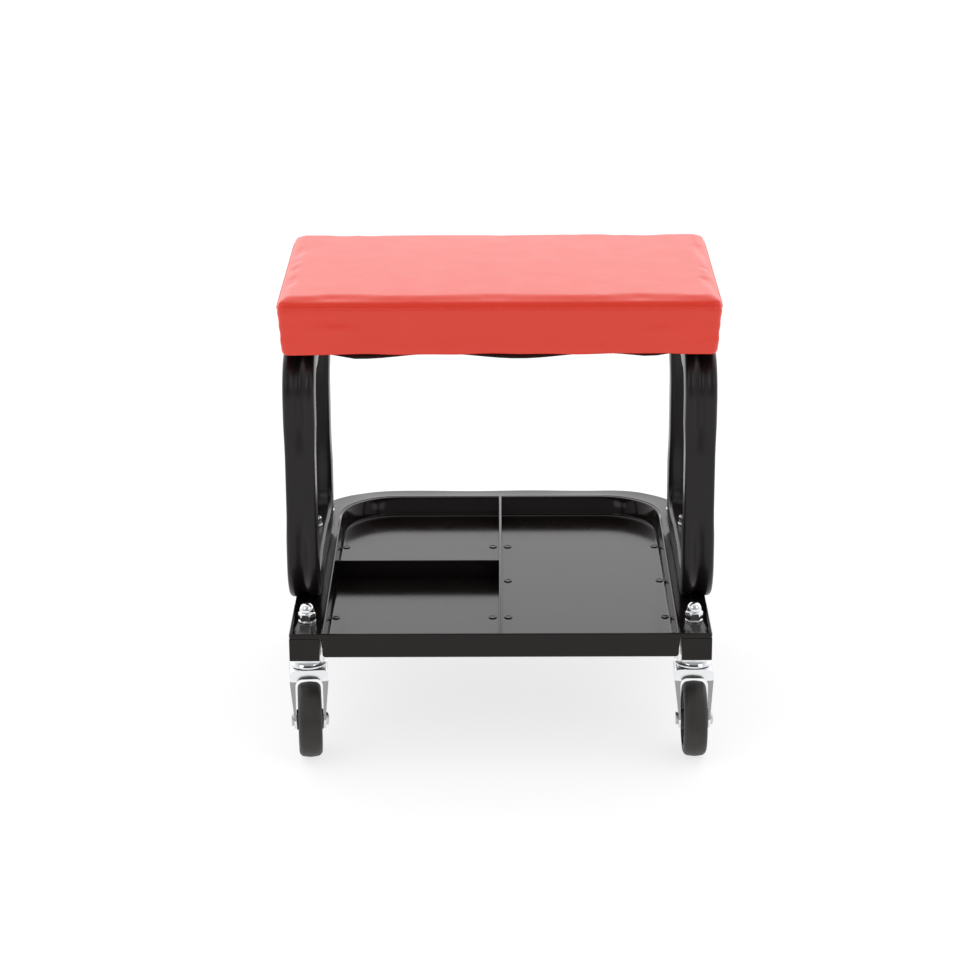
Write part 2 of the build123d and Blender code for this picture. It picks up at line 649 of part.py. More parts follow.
def caster_pieces(name, place):
    """The six moving pieces of one caster, at its stem and turned as it stands."""
    at = Pos(place[0], place[1]) * Rot(0, 0, TURNED.get(name, 0.0))
    pieces = {
        "fork": fork(),
        "axle_bolt": axle_bolt(),
        "axle_nut": axle_nut(),
        "axle_sleeve": axle_sleeve(),
        "wheel_core": wheel_core(),
        "tyre": tyre(),
    }
    return {name + "_" + part: at * shape for part, shape in pieces.items()}


def build():
    """Every piece by its node's name."""
    made = {
        "seat_cover": seat_cover(),
        "seat_foam": seat_foam(),
        "seat_board": seat_board(),
        "dust_cover": dust_cover(),
        "staples": staples(),
        "tee_nuts": tee_nuts(),
        "seat_bolts": seat_bolts(),
        "seat_washers": seat_washers(),
        "left_hoop": hoop("left"),
        "right_hoop": hoop("right"),
        "foot_bolts": foot_bolts(),
        "foot_nuts": foot_nuts(),
        "foot_washers": foot_washers(),
        "left_rail": rail("left"),
        "right_rail": rail("right"),
        "rail_plugs": rail_plugs(),
        "tool_tray": tray(),
        "stem_washers": stem_washers(),
        "cap_nuts": cap_nuts(),
        "caster_stems": caster_stems(),
        "bearing_caps": bearing_caps(),
        "swivel_balls": swivel_balls(),
        "stem_retainers": stem_retainers(),
    }
    for name, place in stem_places().items():
        made.update(caster_pieces(name, place))
    return made


os.makedirs("parts", exist_ok=True)
for node, shape in build().items():
    export_step(shape, "parts/" + node + ".step")
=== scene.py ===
"""Rolling mechanic's seat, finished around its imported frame.

The frame gives every place and size in metres, +Z up, +Y to the back. Each class below
is one sub-assembly: it works its surfaces out from the frame's boxes, dresses them and
names the body that they ride on.
"""

import json
import logging
import math
from dataclasses import dataclass
from enum import Enum
from typing import Sequence

import bmesh
import bpy
import numpy as np
from mathutils import Matrix, Vector
from mathutils.bvhtree import BVHTree


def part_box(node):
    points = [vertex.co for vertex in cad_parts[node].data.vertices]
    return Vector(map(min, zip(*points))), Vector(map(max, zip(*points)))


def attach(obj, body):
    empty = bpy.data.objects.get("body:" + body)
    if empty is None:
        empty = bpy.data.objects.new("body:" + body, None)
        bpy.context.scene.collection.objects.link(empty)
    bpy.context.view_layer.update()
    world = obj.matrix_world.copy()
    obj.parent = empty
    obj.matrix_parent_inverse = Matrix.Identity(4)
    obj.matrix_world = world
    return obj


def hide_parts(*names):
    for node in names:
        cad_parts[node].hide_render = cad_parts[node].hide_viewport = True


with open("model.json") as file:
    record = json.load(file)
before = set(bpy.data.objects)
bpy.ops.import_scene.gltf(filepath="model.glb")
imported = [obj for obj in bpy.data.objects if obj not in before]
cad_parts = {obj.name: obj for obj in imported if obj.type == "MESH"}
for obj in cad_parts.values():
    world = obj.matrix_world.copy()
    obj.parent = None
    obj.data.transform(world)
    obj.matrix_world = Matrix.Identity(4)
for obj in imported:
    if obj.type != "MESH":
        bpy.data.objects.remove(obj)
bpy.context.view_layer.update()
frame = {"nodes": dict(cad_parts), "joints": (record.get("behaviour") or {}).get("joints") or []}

LOG = logging.getLogger("seat")
MM = 0.001
QUARTER = math.pi / 2
SHARP_EDGE = math.radians(38.0)
BASE = "seat_and_base"
CASTERS = ("front_left", "front_right", "rear_left", "rear_right")


class Slot(Enum):
    """Material slots of the record."""

    VINYL = "red_vinyl"
    FOAM = "foam"
    BOARD = "plywood"
    CLOTH = "dust_cloth"
    ZINC = "zinc"
    PLATE = "bright_plate"
    PAINT = "black_paint"
    PLASTIC = "black_plastic"
    WHEEL = "wheel_plastic"
    TYRE = "tyre_rubber"


# ---- finishes ----------------------------------------------------------------------
@dataclass(frozen=True)
class Finish:
    """One procedural finish, with its grain at real size.

    The colour drifts between base and drift over patches, the roughness drifts by
    rough_drift, and the surface height is a fine grain plus a broad unevenness.
    """

    slot: Slot
    base: tuple[float, float, float]
    drift: tuple[float, float, float]
    roughness: float
    rough_drift: float = 0.08
    metallic: float = 0.0
    specular: float = 0.5
    coat: float = 0.0
    coat_roughness: float = 0.1
    sheen: float = 0.0
    tint: tuple[float, float, float] = (1.0, 1.0, 1.0)
    patch_mm: float = 40.0
    grain_mm: float = 1.0
    grain_depth_mm: float = 0.02
    broad_mm: float = 25.0
    broad_depth_mm: float = 0.0
    pebbled: bool = False
    stretch: tuple[float, float, float] = (1.0, 1.0, 1.0)

    def build(self) -> bpy.types.Material:
        """Make the material.

        Returns:
            The finished node material.
        """
        material = bpy.data.materials.new(self.slot.value + "_finish")
        material.use_nodes = True
        tree = material.node_tree
        shader = tree.nodes["Principled BSDF"]
        shader.inputs["Metallic"].default_value = self.metallic
        shader.inputs["Specular IOR Level"].default_value = self.specular
        shader.inputs["Coat Weight"].default_value = self.coat
        shader.inputs["Coat Roughness"].default_value = self.coat_roughness
        shader.inputs["Sheen Weight"].default_value = self.sheen
        shader.inputs["Specular Tint"].default_value = (*self.tint, 1.0)
        place = tree.nodes.new("ShaderNodeTexCoord")
        mapping = tree.nodes.new("ShaderNodeMapping")
        mapping.inputs["Scale"].default_value = self.stretch
        tree.links.new(place.outputs["Object"], mapping.inputs["Vector"])
        patches = self.noise(tree, mapping, self.patch_mm, 4.0)
        mix = tree.nodes.new("ShaderNodeMix")
        mix.data_type = "RGBA"
        mix.inputs["A"].default_value = (*self.base, 1.0)
        mix.inputs["B"].default_value = (*self.drift, 1.0)
        tree.links.new(patches.outputs["Fac"], mix.inputs["Factor"])
        tree.links.new(mix.outputs["Result"], shader.inputs["Base Color"])
        wear = self.noise(tree, mapping, self.patch_mm * 0.4, 6.0)
        spread = tree.nodes.new("ShaderNodeMapRange")
        spread.inputs["To Min"].default_value = self.roughness - self.rough_drift
        spread.inputs["To Max"].default_value = self.roughness + self.rough_drift
        tree.links.new(wear.outputs["Fac"], spread.inputs["Value"])
        tree.links.new(spread.outputs["Result"], shader.inputs["Roughness"])
        self.relief(tree, mapping, shader)
        return material

    @staticmethod
    def noise(tree: bpy.types.NodeTree, mapping: bpy.types.Node, size_mm: float,
              detail: float) -> bpy.types.Node:
        """Noise whose features are about size_mm across.

        Args:
            tree: The material's node tree.
            mapping: Node that gives the position.
            size_mm: Feature size in millimetres.
            detail: Octaves of finer noise.

        Returns:
            The noise node.
        """
        node = tree.nodes.new("ShaderNodeTexNoise")
        node.inputs["Scale"].default_value = 1.0 / (size_mm * MM)
        node.inputs["Detail"].default_value = detail
        tree.links.new(mapping.outputs["Vector"], node.inputs["Vector"])
        return node

    def relief(self, tree: bpy.types.NodeTree, mapping: bpy.types.Node,
               shader: bpy.types.Node) -> None:
        """Add the broad unevenness and the fine grain as two bumps in a row.

        Args:
            tree: The material's node tree.
            mapping: Node that gives the position.
            shader: The shader that takes the normal.
        """
        if self.pebbled:
            grain = tree.nodes.new("ShaderNodeTexVoronoi")
            grain.feature = "SMOOTH_F1"
            grain.inputs["Scale"].default_value = 1.0 / (self.grain_mm * MM)
            tree.links.new(mapping.outputs["Vector"], grain.inputs["Vector"])
            height = grain.outputs["Distance"]
        else:
            height = self.noise(tree, mapping, self.grain_mm, 2.0).outputs["Fac"]
        broad = self.noise(tree, mapping, self.broad_mm, 1.0)
        under = tree.nodes.new("ShaderNodeBump")
        under.inputs["Distance"].default_value = self.broad_depth_mm * MM
        tree.links.new(broad.outputs["Fac"], under.inputs["Height"])
        bump = tree.nodes.new("ShaderNodeBump")
        bump.inputs["Distance"].default_value = self.grain_depth_mm * MM
        tree.links.new(height, bump.inputs["Height"])
        tree.links.new(under.outputs["Normal"], bump.inputs["Normal"])
        tree.links.new(bump.outputs["Normal"], shader.inputs["Normal"])


FINISHES = (
    Finish(Slot.VINYL, (0.78, 0.036, 0.017), (0.73, 0.030, 0.014), 0.34, 0.05, specular=0.55,
           coat=0.10, coat_roughness=0.24, tint=(1.0, 0.90, 0.80), patch_mm=60, grain_mm=0.9,
           grain_depth_mm=0.05, broad_mm=30, broad_depth_mm=0.25, pebbled=True),
    Finish(Slot.FOAM, (0.80, 0.74, 0.52), (0.72, 0.64, 0.42), 0.95, 0.03, grain_mm=0.8,
           grain_depth_mm=0.3, pebbled=True),
    Finish(Slot.BOARD, (0.55, 0.37, 0.20), (0.42, 0.26, 0.13), 0.75, 0.08, patch_mm=6,
           grain_mm=1.2, grain_depth_mm=0.1, stretch=(0.08, 1.0, 1.0)),
    Finish(Slot.CLOTH, (0.012, 0.012, 0.012), (0.022, 0.021, 0.020), 0.9, 0.05, sheen=0.2,
           patch_mm=12, grain_mm=0.5, grain_depth_mm=0.12, pebbled=True),
    Finish(Slot.ZINC, (0.66, 0.67, 0.68), (0.52, 0.54, 0.57), 0.26, 0.08, metallic=1.0,
           patch_mm=6, grain_mm=0.6, grain_depth_mm=0.01),
    Finish(Slot.PLATE, (0.84, 0.85, 0.86), (0.76, 0.77, 0.79), 0.12, 0.06, metallic=1.0,
           patch_mm=14, grain_mm=1.6, grain_depth_mm=0.006, broad_mm=9, broad_depth_mm=0.03),
    Finish(Slot.PAINT, (0.007, 0.005, 0.005), (0.011, 0.0085, 0.0085), 0.32, 0.06,
           specular=0.26, coat=0.05, coat_roughness=0.25, patch_mm=50, grain_mm=1.5,
           grain_depth_mm=0.012, broad_mm=14, broad_depth_mm=0.05),
    Finish(Slot.PLASTIC, (0.0055, 0.004, 0.004), (0.010, 0.0075, 0.0072), 0.15, 0.04,
           specular=0.20, coat=0.12, coat_roughness=0.12, tint=(1.0, 0.93, 0.92), patch_mm=45,
           grain_mm=0.6, grain_depth_mm=0.003, broad_mm=60, broad_depth_mm=0.10),
    Finish(Slot.WHEEL, (0.014, 0.013, 0.013), (0.022, 0.021, 0.020), 0.45, 0.08, patch_mm=10,
           grain_mm=0.7, grain_depth_mm=0.02),
    Finish(Slot.TYRE, (0.016, 0.0145, 0.014), (0.034, 0.031, 0.029), 0.52, 0.10, specular=0.4,
           patch_mm=9, grain_mm=0.6, grain_depth_mm=0.05, broad_mm=6, broad_depth_mm=0.06),
)


class Paintbox:
    """Every finish, made once and handed out by slot."""

    def __init__(self) -> None:
        """Build all the finishes."""
        self.materials = {finish.slot: finish.build() for finish in FINISHES}

    def dress(self, piece: bpy.types.Object, slot: Slot, body: str = BASE) -> bpy.types.Object:
        """Give a new piece its finish, its slot and its body.

        Args:
            piece: The new piece.
            slot: The record's slot that it takes its finish from.
            body: The body that it rides on.

        Returns:
            The same piece.
        """
        piece.data.materials.clear()
        piece.data.materials.append(self.materials[slot])
        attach(piece, body)
        LOG.info("%s rides on %s in %s", piece.name, body, slot.value)
        return piece

    def dress_node(self, name: str, slot: Slot) -> None:
        """Give a node of the frame its finish.

        Args:
            name: The node's name.
            slot: The slot whose finish it gets.
        """
        node = frame["nodes"][name]
        for place in node.material_slots:
            place.link = "OBJECT"
            place.material = self.materials[slot]


# ---- surfaces ----------------------------------------------------------------------
def make_object(name: str, coords: np.ndarray, faces: list, sharp_degrees: float = 40.0
                ) -> bpy.types.Object:
    """Put points and faces into a smooth-shaded object at the origin.

    Args:
        name: The object's name.
        coords: Points, one row each, in metres.
        faces: Corner indices of each face.
        sharp_degrees: Edges that turn more than this stay sharp.

    Returns:
        The new object.
    """
    mesh = bpy.data.meshes.new(name)
    mesh.from_pydata(coords.tolist(), [], faces)
    tidy = bmesh.new()
    tidy.from_mesh(mesh)
    bmesh.ops.remove_doubles(tidy, verts=tidy.verts, dist=1e-6)
    bmesh.ops.dissolve_degenerate(tidy, edges=tidy.edges, dist=1e-7)
    bmesh.ops.recalc_face_normals(tidy, faces=tidy.faces)
    tidy.to_mesh(mesh)
    tidy.free()
    mesh.shade_smooth()
    mesh.set_sharp_from_angle(angle=math.radians(sharp_degrees))
    piece = bpy.data.objects.new(name, mesh)
    bpy.context.scene.collection.objects.link(piece)
    return piece


def grid_faces(rows: int, columns: int, ring: bool, start: int = 0) -> list:
    """Faces of a grid of points whose columns join up.

    Args:
        rows: Rows of the grid.
        columns: Columns of the grid.
        ring: Whether the last row joins the first; otherwise both ends get a fan.
        start: Index of the grid's first point.

    Returns:
        Corner indices, the fans' centres being the two points after the grid.
    """
    index = np.arange(rows * columns).reshape(rows, columns) + start
    beside = np.roll(index, -1, axis=1)
    if ring:
        above, beside_above = np.roll(index, -1, axis=0), np.roll(beside, -1, axis=0)
        return np.stack([index, beside, beside_above, above], -1).reshape(-1, 4).tolist()
    quads = np.stack([index[:-1], beside[:-1], beside[1:], index[1:]], -1).reshape(-1, 4)
    low = np.full(columns, start + rows * columns)
    first = np.stack([low, beside[0], index[0]], -1)
    last = np.stack([low + 1, index[-1], beside[-1]], -1)
    return quads.tolist() + first.tolist() + last.tolist()


def skin(name: str, grids: Sequence[np.ndarray], ring: bool = False, sharp_degrees: float = 40.0
         ) -> bpy.types.Object:
    """One object from closed grids of points.

    Args:
        name: The object's name.
        grids: Arrays of rows by columns by three.
        ring: Whether the rows close into a ring.
        sharp_degrees: Edges that turn more than this stay sharp.

    Returns:
        The new object.
    """
    coords, faces, start = [], [], 0
    for grid in grids:
        rows, columns = grid.shape[:2]
        faces += grid_faces(rows, columns, ring, start)
        ends = np.empty((0, 3)) if ring else grid[[0, -1]].mean(axis=1)
        coords += [grid.reshape(-1, 3), ends]
        start += rows * columns + len(ends)
    return make_object(name, np.vstack(coords), faces, sharp_degrees)


def smooth_step(value: np.ndarray, low: float, high: float) -> np.ndarray:
    """Rise from 0 at low to 1 at high as 3t^2 - 2t^3."""
    share = np.clip((value - low) / (high - low), 0.0, 1.0)
    return share * share * (3.0 - 2.0 * share)


def rounded_box(low: Sequence[float], high: Sequence[float], radius: float, corner_steps: int = 4
                ) -> np.ndarray:
    """Box with round edges and corners.

    A direction d on the sphere gives the point sign(d) * (half - radius) + radius * d about
    the middle, so the eight corners are sphere pieces and the sides stay flat.

    Args:
        low: Lowest corner.
        high: Highest corner.
        radius: Edge radius.
        corner_steps: Steps of each quarter turn.

    Returns:
        Grid of rows by columns by three.
    """
    low, high = np.asarray(low, float), np.asarray(high, float)
    half = (high - low) / 2.0
    arc = np.linspace(0.0, QUARTER, corner_steps + 1)
    eps = 1e-4
    turn = np.concatenate([arc.clip(eps, QUARTER - eps) + k * QUARTER for k in range(4)])
    rise = np.concatenate([arc - QUARTER, arc]).clip(-QUARTER + eps, QUARTER - eps)
    rise[corner_steps] -= eps
    rise[corner_steps + 1] += eps
    rise, turn = np.meshgrid(rise, turn, indexing="ij")
    out = np.stack([np.cos(rise) * np.cos(turn), np.cos(rise) * np.sin(turn), np.sin(rise)], -1)
    return (low + high) / 2.0 + np.sign(out) * (half - radius) + radius * out


def rounded_outline(half_x: float, front: float, back: float, front_radius: float,
                    back_radius: float, corner_steps: int = 14, side_steps: int = 44) -> np.ndarray:
    """Closed rectangle in the XY plane, symmetric in X, with round corners.

    Each corner is an arc about its own centre and each side is evenly divided.

    Args:
        half_x: Half the width.
        front: Lowest Y.
        back: Highest Y.
        front_radius: Radius of the two front corners.
        back_radius: Radius of the two back corners.
        corner_steps: Steps of each arc.
        side_steps: Steps of each side.

    Returns:
        Points, one row each, anticlockwise from above.
    """
    radii = np.array([back_radius, back_radius, front_radius, front_radius])
    centre_x = np.array([1, -1, -1, 1]) * (half_x - radii)
    centre_y = np.where(np.arange(4) < 2, back - radii, front + radii)
    turn = np.arange(4)[:, None] * QUARTER + np.linspace(0, QUARTER, corner_steps + 1)
    arcs = np.stack([centre_x[:, None] + radii[:, None] * np.cos(turn),
                     centre_y[:, None] + radii[:, None] * np.sin(turn)], -1)
    share = np.linspace(0, 1, side_steps + 1)[1:-1, None]
    after = np.roll(arcs[:, 0], -1, axis=0)
    sides = arcs[:, -1][:, None] * (1 - share) + after[:, None] * share
    return np.concatenate([arcs, sides], axis=1).reshape(-1, 2)


def turned(profile: Sequence[tuple[float, float]], flats: float = 0.0, steps: int = 72
           ) -> np.ndarray:
    """Turned piece about +Z, cut to a hexagon where it would stand out of one.

    The radius at turn t is the lesser of the profile's and flats / 2 / cos of the angle
    from t to the nearest flat's middle.

    Args:
        profile: Radius and height of each row.
        flats: Distance across the hexagon's flats, or 0 for a round piece.
        steps: Columns round the piece.

    Returns:
        Grid of rows by columns by three.
    """
    rows = np.asarray(profile, float)
    turn = np.arange(steps) * 2 * math.pi / steps
    radius = np.repeat(rows[:, :1], steps, axis=1)
    if flats:
        off_flat = (turn + math.pi / 6) % (math.pi / 3) - math.pi / 6
        radius = np.minimum(radius, flats / 2 / np.cos(off_flat))
    height = np.repeat(rows[:, 1:], steps, axis=1)
    return np.stack([radius * np.cos(turn), radius * np.sin(turn), height], -1)


def placed(grid: np.ndarray, matrix: Matrix) -> np.ndarray:
    """Carry a grid of points by a matrix.

    Args:
        grid: Points on any grid.
        matrix: Four by four placement.

    Returns:
        The moved points.
    """
    place = np.array(matrix)
    return grid @ place[:3, :3].T + place[:3, 3]


def softened(name: str, width_mm: float = 0.35) -> bpy.types.Object:
    """Welded copy of a frame node with its edges slightly rounded.

    Args:
        name: The node, which the copy then stands for.
        width_mm: Width of the rounded edges.

    Returns:
        The new piece.
    """
    source = frame["nodes"][name]
    mesh = source.data.copy()
    mesh.name = name + "_finished"
    tidy = bmesh.new()
    tidy.from_mesh(mesh)
    bmesh.ops.remove_doubles(tidy, verts=tidy.verts, dist=2e-6)
    bmesh.ops.dissolve_limit(
        tidy, angle_limit=math.radians(1.0), verts=tidy.verts, edges=tidy.edges)
    tidy.to_mesh(mesh)
    tidy.free()
    mesh.shade_smooth()
    mesh.set_sharp_from_angle(angle=SHARP_EDGE)
    piece = bpy.data.objects.new(name + "_finished", mesh)
    bpy.context.scene.collection.objects.link(piece)
    bevel = piece.modifiers.new("edges", "BEVEL")
    bevel.width = width_mm * MM
    bevel.segments = 2
    bevel.limit_method = "ANGLE"
    bevel.angle_limit = SHARP_EDGE
    bevel.harden_normals = False
    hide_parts(name)
    return piece


# ---- seat --------------------------------------------------------------------------
@dataclass
class Seat:
    """Padded seat: cushion in its vinyl cover, the seam round it, and the cloth below."""

    paints: Paintbox
    shrink: float = 0.3 * MM
    edge: float = 4.0 * MM
    foot_taper: float = 0.022
    voxel: float = 4.0 * MM
    pressure: float = 4.0
    frames: int = 20
    cap: float = 3.0 * MM
    draw_in: float = 0.5 * MM
    seam_drop: float = 6.5 * MM
    seam_radius: float = 0.95 * MM
    stitch: float = 4.0 * MM
    sag: float = 1.15 * MM
    sag_wave: float = 122.0 * MM
    crown: float = 1.2 * MM
    ripple: float = 0.55 * MM
    ripple_reach: float = 34.0 * MM
    seam_sunk: float = 0.25 * MM
    cloth_sag: float = 1.6 * MM
    cloth_hang: float = 4.4 * MM

    def __post_init__(self) -> None:
        """Take the cushion's place from the frame."""
        low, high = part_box("seat_cover")
        self.low, self.high = np.array(low), np.array(high)

    def block(self) -> np.ndarray:
        """Tapered block a little inside the cover, as a grid.

        The rounded box's sides pull in towards the foot by foot_taper of the width, and
        its lower rounding lies under the foot, where it is flattened away later.

        Returns:
            Grid of points.
        """
        low, high = self.low + self.shrink, self.high - self.shrink
        low[2] = self.low[2] - self.edge
        grid = rounded_box(low, high, self.edge, 5)
        share = (self.high[2] - grid[..., 2]) / (self.high[2] - self.low[2])
        grid[..., :2] *= (1.0 - self.foot_taper * share)[..., None]
        return grid

    def swollen(self, piece: bpy.types.Object) -> np.ndarray:
        """Blow the cushion up as cloth and cap how far each point goes.

        Points are hardly let inwards, so that the edges stay where they were sewn. The
        lower part keeps its place on the board: the push fades in over the height.

        Args:
            piece: The remeshed cushion.

        Returns:
            The new places of its points.
        """
        rest = read_points(piece)
        cloth = piece.modifiers.new("cloth", "CLOTH")
        cloth.settings.use_pressure = True
        cloth.settings.uniform_pressure_force = self.pressure
        cloth.settings.effector_weights.gravity = 0.0
        cloth.settings.quality = 5
        cloth.point_cache.frame_start = 1
        cloth.point_cache.frame_end = self.frames
        scene = bpy.context.scene
        for step in range(1, self.frames + 1):
            scene.frame_set(step)
        graph = bpy.context.evaluated_depsgraph_get()
        blown = piece.evaluated_get(graph).to_mesh()
        moved = np.empty(len(blown.vertices) * 3)
        blown.vertices.foreach_get("co", moved)
        piece.evaluated_get(graph).to_mesh_clear()
        piece.modifiers.remove(cloth)
        scene.frame_set(1)
        share = (rest[:, 2] - self.low[2]) / (self.high[2] - self.low[2])
        push = (moved.reshape(-1, 3) - rest) * smooth_step(share, 0.12, 0.75)[:, None]
        outward = np.sign(rest - (self.low + self.high) / 2)
        push = np.maximum(push * outward, -self.draw_in) * outward
        reach = np.linalg.norm(push, axis=1, keepdims=True)
        return rest + push * np.minimum(1.0, self.cap / np.maximum(reach, 1e-9))

    def upholstered(self, points: np.ndarray) -> np.ndarray:
        """Shape the swollen points as upholstery over a board.

        The foot is flattened onto the cover's underside and the sides stay near the
        cover's outline. The lower edge rises in a shallow wave between the corners, each
        upright corner carries ripples that fade within ripple_reach of it, and the top is
        raised by crown * (1 - x^2)(1 - y^2).

        Args:
            points: Places of the cushion's points.

        Returns:
            The shaped places.
        """
        out = points.copy()
        middle = (self.low + self.high) / 2
        half = (self.high - self.low) / 2
        rel = (out - middle) / half
        share = (out[:, 2] - self.low[2]) / (self.high[2] - self.low[2])
        out[:, 2] = np.clip(out[:, 2], self.low[2], self.high[2] + 2.0 * MM)
        limit = half[:2] * (1.0 - self.foot_taper * (1 - np.clip(share, 0, 1)))[:, None] + 0.8 * MM
        out[:, :2] = np.clip(out[:, :2], -limit, limit)
        edge = np.max(np.abs(rel[:, :2]) * half[:2] - half[:2], axis=1)
        rim = smooth_step(edge, -14 * MM, -3 * MM) * (1 - smooth_step(share, 0.0, 0.35))
        along = np.where(np.abs(rel[:, 0]) > np.abs(rel[:, 1]), out[:, 1], out[:, 0])
        wave = np.cos(2 * math.pi * along / self.sag_wave) * 0.6 + 0.4 * np.cos(
            2 * math.pi * along / (self.sag_wave * 0.41) + 1.1)
        away = np.minimum(half[0] - np.abs(out[:, 0]) + half[1] - np.abs(out[:, 1]), 1.0)
        hold = smooth_step(away, 14 * MM, 70 * MM)
        out[:, 2] += rim * hold * self.sag * (wave * 0.5 + 0.55)
        gap = np.hypot(half[0] - np.abs(out[:, 0]), half[1] - np.abs(out[:, 1]))
        near = 1 - smooth_step(gap, 4 * MM, self.ripple_reach)
        fold = np.sin((share * 47 + gap * 260) * 0.55) * near * (share > 0.05) * (share < 0.93)
        direction = np.sign(rel[:, :2]) * np.abs(rel[:, :2]) ** 6
        length = np.maximum(np.linalg.norm(direction, axis=1, keepdims=True), 1e-9)
        out[:, :2] += direction / length * (fold * self.ripple)[:, None]
        top = smooth_step(share, 0.9, 1.0)
        dome = (1 - rel[:, 0] ** 2) * (1 - rel[:, 1] ** 2)
        out[:, 2] += top * dome * self.crown
        return out

    def cushion(self) -> bpy.types.Object:
        """Make the cushion.

        Returns:
            The dressed piece.
        """
        piece = skin("seat_cushion", [self.block()], sharp_degrees=180.0)
        remesh = piece.modifiers.new("remesh", "REMESH")
        remesh.mode = "VOXEL"
        remesh.voxel_size = self.voxel
        bake(piece)
        write_points(piece, self.upholstered(self.swollen(piece)))
        finer = piece.modifiers.new("finer", "SUBSURF")
        finer.levels = finer.render_levels = 1
        bake(piece)
        piece.data.shade_smooth()
        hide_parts("seat_cover", "seat_foam")
        return self.paints.dress(piece, Slot.VINYL)

    def seam(self, cushion: bpy.types.Object) -> bpy.types.Object:
        """Sewn seam just below the top edge: a thin welt that dips at each stitch.

        The path is the cushion's own outline at one height. The welt's radius is
        seam_radius times 1 less a quarter of the stitch wave.

        Args:
            cushion: The cushion that the seam lies on.

        Returns:
            The dressed piece.
        """
        body = BVHTree.FromObject(cushion, bpy.context.evaluated_depsgraph_get())
        outline = rounded_outline(
            self.high[0], self.low[1], self.high[1], 10 * MM, 10 * MM, 20, 260)
        height = self.high[2] - self.seam_drop
        inward = -outline / np.linalg.norm(outline, axis=1, keepdims=True)
        hits = [body.find_nearest(Vector((x, y, height)))[0] for x, y in outline]
        path = np.array([(p.x, p.y, height) for p in hits])
        path[:, :2] += inward * self.seam_sunk
        step = np.roll(path, -1, axis=0) - np.roll(path, 1, axis=0)
        step /= np.linalg.norm(step, axis=1, keepdims=True)
        outward = np.stack([step[:, 1], -step[:, 0], 0 * step[:, 0]], -1)
        run = np.cumsum(np.linalg.norm(np.diff(path, axis=0, prepend=path[-1:]), axis=1))
        radius = self.seam_radius * (1 - 0.25 * np.cos(2 * math.pi * run / self.stitch))
        turn = (np.arange(10) * math.pi / 5)[:, None, None]
        ring = np.cos(turn) * outward + np.sin(turn) * np.array([0, 0, 1.0])
        grid = (path + radius[:, None] * ring).transpose(1, 0, 2)
        piece = skin("seat_seam", [grid], ring=True, sharp_degrees=180.0)
        return self.paints.dress(piece, Slot.VINYL)

    def dust_sheet(self) -> bpy.types.Object:
        """Black cloth stapled under the seat, sagging a little between the staples.

        Height is the frame's sheet less a sag of 1 - y^2 between the hoops, and less a
        wave along the front and back edges, where the cloth hangs between its staples.

        Returns:
            The dressed piece.
        """
        low, high = (np.array(c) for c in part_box("dust_cover"))
        inner = np.array([0.0, 0.2, 0.4, 0.6, 0.75, 0.86, 0.94, 1.0])
        outline = rounded_outline(1.0, -1.0, 1.0, 0.06, 0.06, 6, 30)
        half = (high - low)[:2] / 2
        rings = inner[1:, None, None] * outline[None] * half
        sag = self.cloth_sag * smooth_step(
            1 - np.abs(rings[..., 0]) / (half[0] * 0.86), 0, 0.5)
        sag = sag * (1 - (rings[..., 1] / half[1]) ** 2)
        hang = 0.5 + 0.5 * np.sin(rings[..., 0] / (21 * MM) + 0.8)
        hang = hang * (1 - smooth_step(np.abs(rings[..., 0]), 0.118, 0.146))
        sag = sag + self.cloth_hang * hang * smooth_step(
            np.abs(rings[..., 1]) / half[1], 0.72, 1.0)
        top = np.concatenate([rings, (high[2] - 0.05 * MM - sag)[..., None]], -1)
        under = np.concatenate([rings, (low[2] + 0.05 * MM - sag)[..., None]], -1)
        piece = skin("under_cloth", [np.concatenate([top, under[::-1]])], sharp_degrees=60.0)
        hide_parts("dust_cover")
        return self.paints.dress(piece, Slot.CLOTH)

    def build(self) -> None:
        """Make the whole seat."""
        self.seam(self.cushion())
        self.dust_sheet()
        self.paints.dress_node("seat_board", Slot.BOARD)
        self.paints.dress_node("seat_foam", Slot.FOAM)
        for name in ("staples", "tee_nuts"):
            self.paints.dress_node(name, Slot.ZINC)
        for name in ("seat_bolts", "seat_washers"):
            self.paints.dress(softened(name, 0.25), Slot.ZINC)


def read_points(piece: bpy.types.Object) -> np.ndarray:
    """Read the places of a piece's points.

    Args:
        piece: The piece.

    Returns:
        The places, one row each.
    """
    coords = np.empty(len(piece.data.vertices) * 3)
    piece.data.vertices.foreach_get("co", coords)
    return coords.reshape(-1, 3)


def write_points(piece: bpy.types.Object, coords: np.ndarray) -> None:
    """Put new places into a piece's points."""
    piece.data.vertices.foreach_set("co", coords.ravel())
    piece.data.update()


def bake(piece: bpy.types.Object) -> None:
    """Apply a piece's modifiers to its mesh.

    Args:
        piece: The piece, whose modifiers are then gone.
    """
    graph = bpy.context.evaluated_depsgraph_get()
    mesh = bpy.data.meshes.new_from_object(piece.evaluated_get(graph))
    piece.modifiers.clear()
    piece.data = mesh


